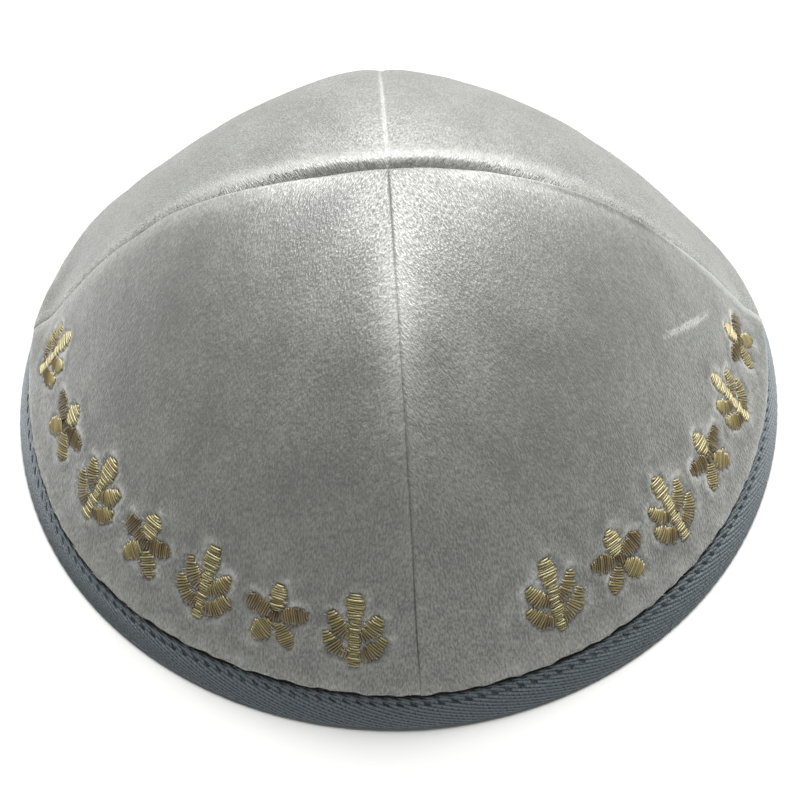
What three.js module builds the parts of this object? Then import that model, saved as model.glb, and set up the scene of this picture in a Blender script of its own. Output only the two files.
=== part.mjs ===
// A velvet kippah: four gore panels sewn into a shallow dome, with its edge bound in folded twill tape.
// Millimetres, +Z up. The binding rests on z = 0, the dome's axis is Z and the front seam faces -Y.
import * as THREE from 'three';
import { mergeVertices } from 'three/addons/utils/BufferGeometryUtils.js';

// The whole cap
const RIM_RADIUS = 87; // outside of the binding where it rests
const CAP_HEIGHT = 64; // rim to apex
const CROWN_POWER = 2.26; // profile of a seam: 2 is a parabola, more has squarer shoulders

// The cloth
const WALL = 1.8; // velvet with its backing
const PINCHED_WALL = 1.0; // the same cloth pressed flat inside the binding
const TAPE = 0.9; // one thickness of the twill tape
const GAP = 0.3; // clearance between two panels
const FOOT_GAP = 0.45; // clearance of a panel's foot between the tape's two legs

// The seams between panels, where the cloth rolls over and turns inwards
const SEAM_ROLL = 2.6; // width of the rolled edge
const SEAM_DITCH = 0.8; // how far the rolled edge sinks at the seam
const TIP_RADIUS = 0.6; // where a panel's point ends, beside the apex
const LEFT_SWAY = 0.12; // radians by which the left seam leans to the back below the apex
const SWAY_SPREAD = 0.4; // radians to each side over which the cloth and the binding follow it

// The binding, a tape folded over the edge with a leg inside and a leg outside
const OUTER_LEG = 6.1; // height of its outside edge
const INNER_LEG = 5.5; // height of its inside edge
const FOLD_ROUND = 0.5; // rounding of the fold where it rests

// How finely the round shapes are cut
const CROWN_STEPS = 14; // rows of a panel above the rim
const PANEL_STEPS = 18; // even columns of a panel, between its two rolled edges
const ROLL_SHARES = [0, 0.4, 1]; // columns of a rolled edge, as shares of its width
const RIM_STEPS = 96; // steps of the binding round the rim

const QUARTER = Math.PI / 2;
const HALF_PANEL = QUARTER / 2;

// One row for each gore: the way its middle faces, in degrees from +X, and how far its middle
// flattens from round towards a straight line between its two seams, at the apex.
const PANELS = [
  { name: 'panel_front_left', facing: -135, squareness: 0.4 },
  { name: 'panel_front_right', facing: -45, squareness: 0.4 },
  { name: 'panel_back_right', facing: 45, squareness: 0.5 },
  { name: 'panel_back_left', facing: 135, squareness: 0.35 },
];

// One row for each soft hollow in a panel: its middle, as degrees from the panel's middle and a share of
// the way from apex to rim, how far it goes in, where less than zero is a swelling, and how it spreads.
const HOLLOWS = [
  { panel: 'panel_back_right', turn: -20, level: 0.92, inward: 2.9, turnSpread: 18, levelSpread: 0.16 },
  { panel: 'panel_back_left', turn: 16, level: 0.92, inward: -2.4, turnSpread: 18, levelSpread: 0.16 },
];

// One row for each bend of a panel's foot: the height on the dome, how far the outer face sinks there,
// how thick the cloth is and how deep its seams are. The foot runs down between the tape's two legs.
const FOOT_ROWS = [
  { rise: 9.2, sink: 0, wall: WALL, ditch: SEAM_DITCH },
  { rise: 7.8, sink: 0.2, wall: 1.7, ditch: 0.5 },
  { rise: 7.0, sink: TAPE + FOOT_GAP, wall: PINCHED_WALL, ditch: 0 },
  { rise: 2.8, sink: TAPE + FOOT_GAP, wall: PINCHED_WALL, ditch: 0 },
];

// The share of the way from apex to rim at a height on the dome.
function levelAt(rise) {
  return (1 - rise / CAP_HEIGHT) ** (1 / CROWN_POWER);
}

// The lean of the dome's wall at a level, from flat at the apex.
function leanAt(level) {
  return Math.atan(((CROWN_POWER * CAP_HEIGHT) / RIM_RADIUS) * level ** (CROWN_POWER - 1));
}

// How far a panel's soft hollows bring its face in towards the axis. They fade out at the seams.
function hollowInward(panel, turn, level) {
  const fade = 1 - (turn / HALF_PANEL) ** 2;
  let inward = 0;
  for (const hollow of HOLLOWS.filter((row) => row.panel === panel.name)) {
    const across = (THREE.MathUtils.radToDeg(turn) - hollow.turn) / hollow.turnSpread;
    const along = (level - hollow.level) / hollow.levelSpread;
    inward += hollow.inward * fade * Math.exp(-(across ** 2) - along ** 2);
  }
  return inward;
}

// The dome's radius in one panel. It is round at the rim and goes towards a square near the apex.
function crownRadius(panel, turn, level) {
  const straight = Math.cos(HALF_PANEL) / Math.cos(turn);
  const share = panel.squareness * (1 - level ** 2);
  return RIM_RADIUS * level * (1 - share * (1 - straight)) - hollowInward(panel, turn, level);
}

// An angle round the cap once the cloth has followed the left seam to the back.
function swayedAngle(angle, level) {
  const fromLeft = THREE.MathUtils.euclideanModulo(angle, 2 * Math.PI) - Math.PI;
  const follows = Math.exp(-((fromLeft / SWAY_SPREAD) ** 2));
  return angle - LEFT_SWAY * follows * THREE.MathUtils.smoothstep(level, 0.05, 0.55);
}

// The rows of a panel from its point to its foot.
function panelRows() {
  const top = TIP_RADIUS / RIM_RADIUS;
  const foot = FOOT_ROWS.map((row) => ({ ...row, level: levelAt(row.rise) }));
  const rows = [];
  for (let step = 0; step < CROWN_STEPS; step++) {
    const level = THREE.MathUtils.lerp(top, foot[0].level, step / CROWN_STEPS);
    rows.push({ level, sink: 0, wall: WALL, ditch: SEAM_DITCH });
  }
  return rows.concat(foot);
}

// A column's turn from the panel's middle: even steps in the middle and closer ones in the rolled edges.
function columnTurn(column, columns, limit, roll) {
  const rollSteps = ROLL_SHARES.length - 1;
  const fromEdge = Math.min(column, columns - column);
  const side = column < columns / 2 ? -1 : 1;
  if (fromEdge < rollSteps) return side * (limit - ROLL_SHARES[fromEdge] * roll);
  const share = (column - rollSteps) / PANEL_STEPS;
  return THREE.MathUtils.lerp(roll - limit, limit - roll, share);
}

// Moves a geometry's vertices by a function, and joins those that meet.
function reshape(geometry, place) {
  geometry.deleteAttribute('normal');
  geometry.deleteAttribute('uv');
  const points = geometry.getAttribute('position');
  const point = new THREE.Vector3();
  for (let i = 0; i < points.count; i++) {
    place(point.fromBufferAttribute(points, i));
    points.setXYZ(i, point.x, point.y, point.z);
  }
  const joined = mergeVertices(geometry);
  joined.computeVertexNormals();
  return joined;
}

// One gore: a flat box of rows and columns, bent over the dome. Its x runs round the panel, its y from foot
// to point and its z through the cloth.
function panelGeometry(panel) {
  const rows = panelRows();
  const steps = rows.length - 1;
  const columns = PANEL_STEPS + 2 * (ROLL_SHARES.length - 1);
  const box = new THREE.BoxGeometry(1, 1, 1, columns, steps, 1);
  return reshape(box, (point) => {
    const row = rows[Math.round((0.5 - point.y) * steps)];
    const column = Math.round((point.x + 0.5) * columns);
    const seamRadius = RIM_RADIUS * row.level;
    const limit = HALF_PANEL - Math.asin(GAP / 2 / seamRadius);
    const roll = Math.min(SEAM_ROLL / seamRadius, limit / 2);
    const turn = columnTurn(column, columns, limit, roll);
    const rolled = Math.max(0, 1 - (limit - Math.abs(turn)) / roll);
    const seamSink = row.ditch * rolled ** 2;
    const inside = point.z > 0 ? 0 : row.wall - seamSink / 2;
    const depth = row.sink + seamSink + inside;
    const lean = leanAt(row.level);
    const radius = crownRadius(panel, turn, row.level) - depth * Math.sin(lean);
    const rise = CAP_HEIGHT * (1 - row.level ** CROWN_POWER) - depth * Math.cos(lean);
    const angle = swayedAngle(THREE.MathUtils.degToRad(panel.facing) + turn, row.level);
    point.set(radius * Math.cos(angle), radius * Math.sin(angle), rise);
  });
}

// The binding's section as a closed outline: x is the offset from the dome's face, y the height.
function bindingSection() {
  const lean = Math.sin(leanAt(1));
  const tape = TAPE / lean;
  const channel = (PINCHED_WALL + 2 * FOOT_GAP) / lean;
  const back = -(2 * tape + channel);
  const section = new THREE.Path();
  section.moveTo(back + FOLD_ROUND, 0);
  section.lineTo(-FOLD_ROUND, 0);
  section.lineTo(0, FOLD_ROUND);
  section.lineTo(0, OUTER_LEG - TAPE / 2);
  section.lineTo(-tape / 2, OUTER_LEG);
  section.lineTo(-tape, OUTER_LEG - TAPE / 2);
  section.lineTo(-tape, TAPE);
  section.lineTo(-tape - channel, TAPE);
  section.lineTo(-tape - channel, INNER_LEG - TAPE / 2);
  section.lineTo(back + tape / 2, INNER_LEG);
  section.lineTo(back, INNER_LEG - TAPE / 2);
  section.lineTo(back, FOLD_ROUND);
  section.closePath();
  return section.getPoints();
}

// The dome's radius at an angle round the cap and a height.
function domeRadius(angle, rise) {
  for (const panel of PANELS) {
    const turn = angle - THREE.MathUtils.degToRad(panel.facing);
    const nearest = THREE.MathUtils.euclideanModulo(turn + Math.PI, 2 * Math.PI) - Math.PI;
    if (Math.abs(nearest) <= HALF_PANEL) return crownRadius(panel, nearest, levelAt(rise));
  }
  return RIM_RADIUS * levelAt(rise);
}

// The binding: its section turned round the axis, then laid against the dome.
function bindingGeometry() {
  const outline = bindingSection();
  const profile = outline.map((corner) => new THREE.Vector2(RIM_RADIUS + corner.x, corner.y));
  const ring = new THREE.LatheGeometry(profile, RIM_STEPS);
  ring.rotateX(QUARTER);
  return reshape(ring, (point) => {
    const angle = Math.atan2(point.y, point.x);
    const offset = Math.hypot(point.x, point.y) - RIM_RADIUS;
    const radius = domeRadius(angle, point.z) + offset;
    const swayed = swayedAngle(angle, levelAt(point.z));
    point.set(radius * Math.cos(swayed), radius * Math.sin(swayed), point.z);
  });
}

function velvet() {
  return new THREE.MeshStandardMaterial({ color: 0xa4a5a4, roughness: 0.75, metalness: 0 });
}

function twillTape() {
  return new THREE.MeshStandardMaterial({ color: 0x5f6b70, roughness: 0.85, metalness: 0 });
}

function named(name, geometry, material) {
  const mesh = new THREE.Mesh(geometry, material);
  mesh.name = name;
  return mesh;
}

const kippah = new THREE.Group();
kippah.name = 'kippah';
for (const panel of PANELS) {
  kippah.add(named(panel.name, panelGeometry(panel), velvet()));
}
kippah.add(named('rim_binding', bindingGeometry(), twillTape()));

export default kippah;
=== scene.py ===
"""A velvet kippah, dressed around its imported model.

Four gores of short-pile velvet, a folded twill binding with its row of machine stitches, and sprigs of
satin stitch over the two front gores. Sizes are in millimetres and turn into metres where a mesh is placed.
"""

import logging
import math
from dataclasses import dataclass
from enum import Enum

import bmesh
import bpy
import numpy as np
from mathutils import Matrix, Vector, kdtree, noise


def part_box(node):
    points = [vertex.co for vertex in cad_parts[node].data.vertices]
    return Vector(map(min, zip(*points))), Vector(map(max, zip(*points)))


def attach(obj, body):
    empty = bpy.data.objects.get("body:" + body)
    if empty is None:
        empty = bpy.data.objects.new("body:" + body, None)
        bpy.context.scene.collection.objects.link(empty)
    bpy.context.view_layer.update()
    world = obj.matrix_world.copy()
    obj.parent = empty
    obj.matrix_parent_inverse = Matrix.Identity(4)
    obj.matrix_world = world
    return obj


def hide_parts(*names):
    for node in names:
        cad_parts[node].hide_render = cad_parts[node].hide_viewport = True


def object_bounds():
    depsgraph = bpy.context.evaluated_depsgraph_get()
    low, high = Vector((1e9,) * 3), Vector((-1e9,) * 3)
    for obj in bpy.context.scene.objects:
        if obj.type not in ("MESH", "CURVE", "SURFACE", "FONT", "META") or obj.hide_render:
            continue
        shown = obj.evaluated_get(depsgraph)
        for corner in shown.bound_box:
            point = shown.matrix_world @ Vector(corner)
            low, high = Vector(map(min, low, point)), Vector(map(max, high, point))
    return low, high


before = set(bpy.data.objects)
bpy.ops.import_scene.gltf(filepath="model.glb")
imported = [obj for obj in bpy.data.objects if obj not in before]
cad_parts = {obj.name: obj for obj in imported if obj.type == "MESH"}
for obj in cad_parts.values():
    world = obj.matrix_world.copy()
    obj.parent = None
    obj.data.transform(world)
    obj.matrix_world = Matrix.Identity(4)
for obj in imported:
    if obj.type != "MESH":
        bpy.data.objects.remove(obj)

CAD_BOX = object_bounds()
LOG = logging.getLogger("kippah")

MM = 0.001
CLOTH_UNIT = 100.0  # millimetres of cloth to one unit of a piece's own UV map
QUARTER = math.pi / 2
HALF_GORE = QUARTER / 2


def linear(code: str) -> tuple[float, float, float, float]:
    """Turns an sRGB hex colour into linear light.

    Args:
        code: six hex digits after a hash.

    Returns:
        Red, green, blue and full alpha.
    """
    parts = [int(code[i : i + 2], 16) / 255 for i in (1, 3, 5)]
    red, green, blue = (p / 12.92 if p <= 0.04045 else ((p + 0.055) / 1.055) ** 2.4 for p in parts)
    return red, green, blue, 1.0


def add_node(
    tree: bpy.types.NodeTree, kind: str, settings: dict | None = None, inputs: dict | None = None
) -> bpy.types.Node:
    """Adds a shader node with its settings and links.

    Args:
        tree: the material's or world's node tree.
        kind: the node's type, after ShaderNode.
        settings: the node's own properties by name.
        inputs: values to set, or outputs to link, by the input's name or index.

    Returns:
        The new node.
    """
    node = tree.nodes.new("ShaderNode" + kind)
    for name, value in (settings or {}).items():
        setattr(node, name, value)
    for key, value in (inputs or {}).items():
        if isinstance(value, bpy.types.NodeSocket):
            tree.links.new(value, node.inputs[key])
        else:
            node.inputs[key].default_value = value
    return node


def new_material(name: str) -> tuple[bpy.types.Material, bpy.types.NodeTree]:
    """Starts a material with an empty node tree.

    Args:
        name: the real material's common name.

    Returns:
        The material and its tree.
    """
    material = bpy.data.materials.new(name)
    material.use_nodes = True
    material.node_tree.nodes.clear()
    return material, material.node_tree


def smooth_step(values: np.ndarray, start: float, end: float) -> np.ndarray:
    """Eases from 0 at start to 1 at end.

    Args:
        values: where to read the step.
        start: where it begins.
        end: where it is done, on either side of start.

    Returns:
        The eased share at each value.
    """
    share = np.clip((values - start) / (end - start), 0, 1)
    return share * share * (3 - 2 * share)


def bell(values: np.ndarray, middle: float, spread: np.ndarray | float) -> np.ndarray:
    """Returns a smooth bump that is 1 at the middle and fades over the spread."""
    return np.exp(-(((values - middle) / spread) ** 2))


def wrapped(angle: np.ndarray) -> np.ndarray:
    """Returns angles brought within half a turn of zero."""
    return (angle + math.pi) % (2 * math.pi) - math.pi


@dataclass(frozen=True)
class EdgeRoll:
    """The roll of a gore's edge, in mm: how deep and wide it turns in, and the swelling beside it."""

    ditch: float
    width: float
    puff: float = 0.0
    puff_at: float = 3.0
    puff_spread: float = 3.0

    def sink(self, distance: np.ndarray) -> np.ndarray:
        """Works out how far the rolled edge sinks below the dome.

        Args:
            distance: distances from the seam.

        Returns:
            Depths in millimetres, less than zero where the cloth swells.
        """
        rolled = np.clip(1 - distance / self.width, 0, 1)
        swelling = self.puff * bell(distance, self.puff_at, self.puff_spread)
        return self.ditch * rolled**2 - swelling * (1 - rolled)


@dataclass(frozen=True)
class PaintedEdgeSheen:
    """Painted sheen beside a seam, a brighter pile tone that stands in for the highlight on the seam's ridge,
    in mm: how much, how far off and how wide, and the radius where it starts and how softly.
    """

    amount: float
    middle: float
    spread: float
    starts: float = -20.0
    ease: float = 10.0

    def sheen_paint(self, distance: np.ndarray, radius: np.ndarray) -> np.ndarray:
        """Returns the painted sheen at a distance from the seam and a radius from the axis."""
        begun = smooth_step(radius, self.starts - self.ease, self.starts + self.ease)
        return self.amount * bell(distance, self.middle, self.spread) * begun


# Radii in millimetres between which a seam goes from its form beside the apex to its form near the rim
ROLL_CHANGE = (10.0, 38.0)
SHEEN_CHANGE = (24.0, 56.0)
ROLL_PRESSED = (85.0, 78.0)  # radii between which the roll comes free of the binding
ROLL_LEFT = 0.15  # share of the roll that is left under the binding


class SeamEdge(Enum):
    """A gore's edge along one seam, as its roll and its painted sheen, each beside the apex and then near the
    rim.
    """

    GROOVE = (EdgeRoll(0.3, 0.45), EdgeRoll(0.4, 0.6), PaintedEdgeSheen(0.36, 0.0, 4.4, 16.0), PaintedEdgeSheen(0.05, 0.0, 2.0))
    UNDER = (
        EdgeRoll(0.25, 1.2),
        EdgeRoll(0.0, 0.25, 0.45, 0.35, 0.75),
        PaintedEdgeSheen(0.24, 0.8, 2.6, 10.0),
        PaintedEdgeSheen(0.9, 0.3, 0.95, 60.0),
    )
    SOFT = (
        EdgeRoll(0.25, 1.2),
        EdgeRoll(0.0, 0.25, 0.2, 0.3, 1.2),
        PaintedEdgeSheen(0.24, 1.0, 2.8, 10.0),
        PaintedEdgeSheen(0.26, 0.7, 1.8),
    )
    OVER = (
        EdgeRoll(1.35, 2.3, 0.7, 2.8, 3.2),
        EdgeRoll(0.15, 1.0, 0.1, 2.2, 1.6),
        PaintedEdgeSheen(0.27, 3.4, 2.9),
        PaintedEdgeSheen(0.08, 2.0, 2.0),
    )
    LIPPED = (
        EdgeRoll(0.05, 1.5),
        EdgeRoll(0.55, 6.0),
        PaintedEdgeSheen(0.36, 0.0, 0.36),
        PaintedEdgeSheen(0.1, 0.0, 0.5),
    )

    def sink(self, distance: np.ndarray, radius: np.ndarray) -> np.ndarray:
        """Works out how far a seam pulls the cloth below the dome.

        Args:
            distance: distances from the seam.
            radius: distances from the cap's axis, by which the roll changes along the seam.

        Returns:
            Depths in millimetres, less than zero where the cloth swells.
        """
        top, rim = self.value[:2]
        share = smooth_step(radius, *ROLL_CHANGE)
        free = smooth_step(radius, *ROLL_PRESSED)
        rolled = top.sink(distance) * (1 - share) + rim.sink(distance) * share
        return rolled * (ROLL_LEFT + (1 - ROLL_LEFT) * free)

    def sheen_paint(self, distance: np.ndarray, radius: np.ndarray) -> np.ndarray:
        """Works out the painted sheen beside a seam: a brighter pile tone that stands in for the highlight on
        its ridge.

        Args:
            distance: distances from the seam.
            radius: distances from the cap's axis.

        Returns:
            Shares of painted light above the pile's usual tone.
        """
        top, rim = self.value[2:]
        share = smooth_step(radius, *SHEEN_CHANGE)
        return top.sheen_paint(distance, radius) * (1 - share) + rim.sheen_paint(distance, radius) * share


@dataclass(frozen=True)
class Hollow:
    """A soft hollow in a gore, or a swelling where inward is below zero."""

    turn: float
    level: float
    inward: float
    turn_spread: float = 18.0
    level_spread: float = 0.16


FOLD_MEAN = 0.8  # a fold's height along its length, as a share, and the waves that make it uneven
FOLD_WAVES = ((0.14, 31, 0.0), (0.1, 57, 1.0))  # each wave's height, count and start


@dataclass(frozen=True)
class Crease:
    """A short soft fold across a gore, between two places given as a turn in degrees and a level."""

    start: tuple[float, float]
    end: tuple[float, float]
    height: float
    width: float

    def strength(self, along: np.ndarray) -> np.ndarray:
        """Returns how much of the fold's height is left at a share of its length."""
        waves = sum(height * np.sin(count * along + start) for height, count, start in FOLD_WAVES)
        return (FOLD_MEAN + waves) * np.sin(math.pi * np.clip(along, 0, 1)) ** 0.8


@dataclass(frozen=True)
class PaintedLightPatch:
    """A soft patch of painted light on the pile's tone above zero, and of painted shade below it."""

    turn: float
    level: float
    turn_spread: float
    level_spread: float
    amount: float


@dataclass(frozen=True)
class FootSwell:
    """A place where the cloth swells out over the binding: its turn and spread in degrees, and its lift."""

    turn: float
    spread: float
    lift: float


@dataclass(frozen=True)
class Gore:
    """One panel: its node, the way it faces and its nap's slant in degrees, its seams and soft forms, and its
    patches of painted light and shade.
    """

    node: str
    facing: float
    squareness: float
    grain: float
    low_seam: SeamEdge
    high_seam: SeamEdge
    hollows: tuple[Hollow, ...] = ()
    swells: tuple[FootSwell, ...] = ()
    creases: tuple[Crease, ...] = ()
    painted_patches: tuple[PaintedLightPatch, ...] = ()


GORES = (
    Gore(
        node="panel_front_left",
        facing=-135,
        squareness=0.4,
        grain=20.0,
        low_seam=SeamEdge.SOFT,
        high_seam=SeamEdge.GROOVE,
        swells=(FootSwell(-45, 12, 1.5),),
        # Patches of painted light and shade on the pile's tone.
        painted_patches=(
            PaintedLightPatch(-10, 0.19, 14, 0.09, -0.24),
            PaintedLightPatch(-26, 0.58, 18, 0.24, -0.1),
            PaintedLightPatch(2, 0.6, 18, 0.05, 0.06),
            PaintedLightPatch(10, 0.62, 40, 0.14, -0.05),
        ),
    ),
    Gore(
        node="panel_front_right",
        facing=-45,
        squareness=0.4,
        grain=-20.0,
        low_seam=SeamEdge.GROOVE,
        high_seam=SeamEdge.UNDER,
        swells=(FootSwell(45, 30, 1.5),),
        creases=(Crease((20.0, 0.687), (36.2, 0.786), 0.2, 0.5),),
        # Patches of painted light and shade on the pile's tone.
        painted_patches=(
            PaintedLightPatch(-5, 0.12, 30, 0.08, 0.06),
            PaintedLightPatch(18, 0.45, 18, 0.14, -0.07),
            PaintedLightPatch(-10, 0.62, 40, 0.14, -0.05),
        ),
    ),
    Gore(
        node="panel_back_right",
        facing=45,
        squareness=0.5,
        grain=20.0,
        low_seam=SeamEdge.OVER,
        high_seam=SeamEdge.LIPPED,
        hollows=(Hollow(-20, 0.92, 2.9),),
        swells=(FootSwell(-45, 28, 1.4),),
    ),
    Gore(
        node="panel_back_left",
        facing=135,
        squareness=0.35,
        grain=-20.0,
        low_seam=SeamEdge.LIPPED,
        high_seam=SeamEdge.OVER,
        hollows=(Hollow(16, 0.92, -2.4),),
        swells=(FootSwell(45, 26, 1.9),),
    ),
)


@dataclass(frozen=True)
class Dome:
    """The cap's outer form: round at the rim and drawn towards a square near the apex."""

    rim_radius: float
    cap_height: float
    power: float = 2.26
    left_sway: float = 0.12  # radians by which the left seam leans to the back below the apex
    sway_spread: float = 0.4  # radians to each side over which the cloth and the binding follow it
    sway_levels: tuple[float, float] = (0.05, 0.55)  # where the lean starts and where it is whole
    narrow_at: float = -145.0  # degrees from +X where less of the tape is folded to the outside
    narrow_spread: float = 22.0
    narrowing: float = 1.6  # millimetres by which its edge is lower there
    arc_steps: int = 800  # steps in which a seam is measured

    def level_at(self, rise: np.ndarray | float) -> np.ndarray | float:
        """Returns the share of the way from apex to rim at a height."""
        return (1 - rise / self.cap_height) ** (1 / self.power)

    def rise_at(self, level: np.ndarray) -> np.ndarray:
        """Returns the dome's height at a level, in millimetres."""
        return self.cap_height * (1 - level**self.power)

    def lean(self, level: np.ndarray) -> np.ndarray:
        """Returns the wall's lean from flat at a level, in radians."""
        steepness = self.power * self.cap_height / self.rim_radius
        return np.arctan(steepness * np.maximum(level, 0) ** (self.power - 1))

    def arcs(self) -> tuple[np.ndarray, np.ndarray]:
        """Measures a seam from the apex down.

        Returns:
            Levels from apex to rim, and the length of cloth from the apex to each.
        """
        levels = np.linspace(0, 1, self.arc_steps + 1)
        run = np.diff(self.rim_radius * levels)
        fall = np.diff(self.rise_at(levels))
        return levels, np.concatenate([[0.0], np.cumsum(np.hypot(run, fall))])

    def level_of_arc(self, arc: np.ndarray | float) -> np.ndarray:
        """Returns the level at a length of cloth from the apex."""
        levels, lengths = self.arcs()
        return np.interp(arc, lengths, levels)

    def arc_of_level(self, level: np.ndarray | float) -> np.ndarray:
        """Returns the length of cloth from the apex to a level."""
        levels, lengths = self.arcs()
        return np.interp(level, levels, lengths)

    def radius(self, gore: Gore, turn: np.ndarray, level: np.ndarray) -> np.ndarray:
        """Works out the dome's radius in one gore.

        Args:
            gore: the panel.
            turn: angles from its middle, in radians.
            level: shares of the way from apex to rim.

        Returns:
            Radii in millimetres.
        """
        straight = math.cos(HALF_GORE) / np.cos(turn)
        share = gore.squareness * (1 - level**2)
        found = self.rim_radius * level * (1 - share * (1 - straight))
        fade = 1 - (turn / HALF_GORE) ** 2
        for hollow in gore.hollows:
            across = bell(np.degrees(turn), hollow.turn, hollow.turn_spread)
            along = bell(level, hollow.level, hollow.level_spread)
            found = found - hollow.inward * fade * across * along
        return found

    def place(self, gore: Gore, turn: np.ndarray, level: np.ndarray, lift: np.ndarray) -> np.ndarray:
        """Places points on one gore.

        Args:
            gore: the panel.
            turn: angles from its middle, in radians.
            level: shares of the way from apex to rim.
            lift: distances out from the dome's face, in millimetres.

        Returns:
            Points in metres, with x, y and z last.
        """
        lean = self.lean(level)
        radius = self.radius(gore, turn, level) + lift * np.sin(lean)
        rise = self.rise_at(level) + lift * np.cos(lean)
        angle = self.swayed(math.radians(gore.facing) + turn, level)
        return np.stack([radius * np.cos(angle), radius * np.sin(angle), rise], axis=-1) * MM

    def swayed(self, angle: np.ndarray, level: np.ndarray) -> np.ndarray:
        """Returns angles round the cap once the cloth has followed the left seam to the back."""
        follows = bell(wrapped(angle - math.pi), 0, self.sway_spread)
        return angle - self.left_sway * smooth_step(level, *self.sway_levels) * follows

    def unswayed(self, angle: np.ndarray, level: np.ndarray) -> np.ndarray:
        """Undoes the lean of the left seam.

        Args:
            angle: angles on the finished cap, in radians.
            level: shares of the way from apex to rim.

        Returns:
            The angles where they lay before the cloth followed the seam.
        """
        found = angle
        for _ in range(6):
            found = found + angle - self.swayed(found, level)
        return found

    def narrowed(self, angle: np.ndarray) -> np.ndarray:
        """Returns how much lower the tape's outside edge is at angles round the cap, in millimetres."""
        from_middle = np.degrees(wrapped(angle - math.radians(self.narrow_at)))
        return self.narrowing * bell(from_middle, 0, self.narrow_spread)

    def gore_at(self, angle: np.ndarray, gore: Gore) -> tuple[np.ndarray, np.ndarray]:
        """Finds which angles round the cap lie in a gore.

        Args:
            angle: angles round the cap, in radians from +X.
            gore: the panel.

        Returns:
            A mask of the angles in it, and every angle's turn from its middle.
        """
        turn = wrapped(angle - math.radians(gore.facing))
        return np.abs(turn) <= HALF_GORE + 1e-9, turn

    def rim_point(self, angle: np.ndarray, rise: np.ndarray, offset: np.ndarray) -> np.ndarray:
        """Places points by height near the rim, where the binding lies.

        Args:
            angle: angles round the cap, in radians.
            rise: heights in millimetres.
            offset: distances out from the dome's face, level, in millimetres.

        Returns:
            Points in metres.
        """
        radius = np.zeros_like(angle)
        level = self.level_at(rise)
        for gore in GORES:
            inside, turn = self.gore_at(angle, gore)
            held = np.where(inside, turn, 0)
            radius = np.where(inside, self.radius(gore, held, level), radius)
        radius = radius + offset
        turned = self.swayed(angle, level)
        return np.stack([radius * np.cos(turned), radius * np.sin(turned), rise + 0 * radius], axis=-1) * MM


@dataclass(frozen=True)
class VelvetPile:
    """Silver-grey short-pile velvet: flecks of nap in random tones, partly a painted glint at the bright
    fibre tips and painted shade down among the dark roots, and a painted sheen where the mesh's sheen
    attribute is high.
    """

    root: str = "#63645e"
    tip: str = "#94958d"
    painted_sheen_tone: str = "#d4d5d0"
    fibre: tuple[float, float] = (0.36, 0.95)
    clump: tuple[float, float] = (1.6, 2.6)
    patch: tuple[float, float] = (13.0, 20.0)
    roughness: tuple[float, float] = (0.78, 0.47)
    gloss_range: tuple[float, float] = (0.3, 0.7)  # fleck values over which the roughness changes
    root_at: float = 0.39  # tones at which the roots and the tips show
    tip_at: float = 0.61
    relief: float = 0.2

    def make(self) -> bpy.types.Material:
        """Makes the velvet's material, with its flecks along the grain of the cloth.

        Returns:
            The outer face's material.
        """
        material, tree = new_material("short_pile_velvet")
        cloth = add_node(tree, "UVMap", {"uv_map": "cloth"}).outputs["UV"]
        # The mesh's sheen attribute is painted light and shade on the pile's tone.
        tone = add_node(tree, "Attribute", {"attribute_name": "sheen_paint"}).outputs["Fac"]
        flecks = []
        layers = ((self.fibre, 2.0, 0.65), (self.clump, 1.0, 0.2), (self.patch, 1.0, 0.15))
        for size, detail, weight in layers:
            scale = (CLOTH_UNIT / size[0], CLOTH_UNIT / size[1], 1.0)
            turned = add_node(tree, "Mapping", None, {"Vector": cloth, "Scale": scale})
            grain = {"Vector": turned.outputs[0], "Scale": 1.0, "Detail": detail, "Roughness": 0.6}
            fleck = add_node(tree, "TexNoise", {"noise_dimensions": "2D"}, grain).outputs["Fac"]
            flecks.append(fleck)
            mixed = {0: fleck, 1: weight, 2: tone}
            tone = add_node(tree, "Math", {"operation": "MULTIPLY_ADD"}, mixed).outputs[0]
        # The ramp's third stop is a painted sheen: a bright tone that stands in for highlights where the
        # sheen attribute is high.
        ramp = add_node(tree, "ValToRGB", None, {"Fac": tone})
        ramp.color_ramp.elements.new(self.tip_at).color = linear(self.tip)
        ramp.color_ramp.elements[0].position = self.root_at
        ramp.color_ramp.elements[0].color = linear(self.root)
        ramp.color_ramp.elements[2].color = linear(self.painted_sheen_tone)
        bump = {"Height": flecks[0], "Strength": 1.0, "Distance": self.relief * MM}
        low, high = self.gloss_range
        gloss = {"Value": flecks[0], 1: low, 2: high, 3: self.roughness[0], 4: self.roughness[1]}
        shader = add_node(
            tree,
            "BsdfPrincipled",
            None,
            {
                "Base Color": ramp.outputs["Color"],
                "Normal": add_node(tree, "Bump", None, bump).outputs["Normal"],
                "Roughness": add_node(tree, "MapRange", None, gloss).outputs["Result"],
                "IOR": 2.0,
                "Specular IOR Level": 1.0,
                "Sheen Weight": 0.4,
                "Sheen Roughness": 0.4,
                "Sheen Tint": linear("#f4f5f6"),
            },
        )
        add_node(tree, "OutputMaterial", None, {"Surface": shader.outputs[0]})
        return material


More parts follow.
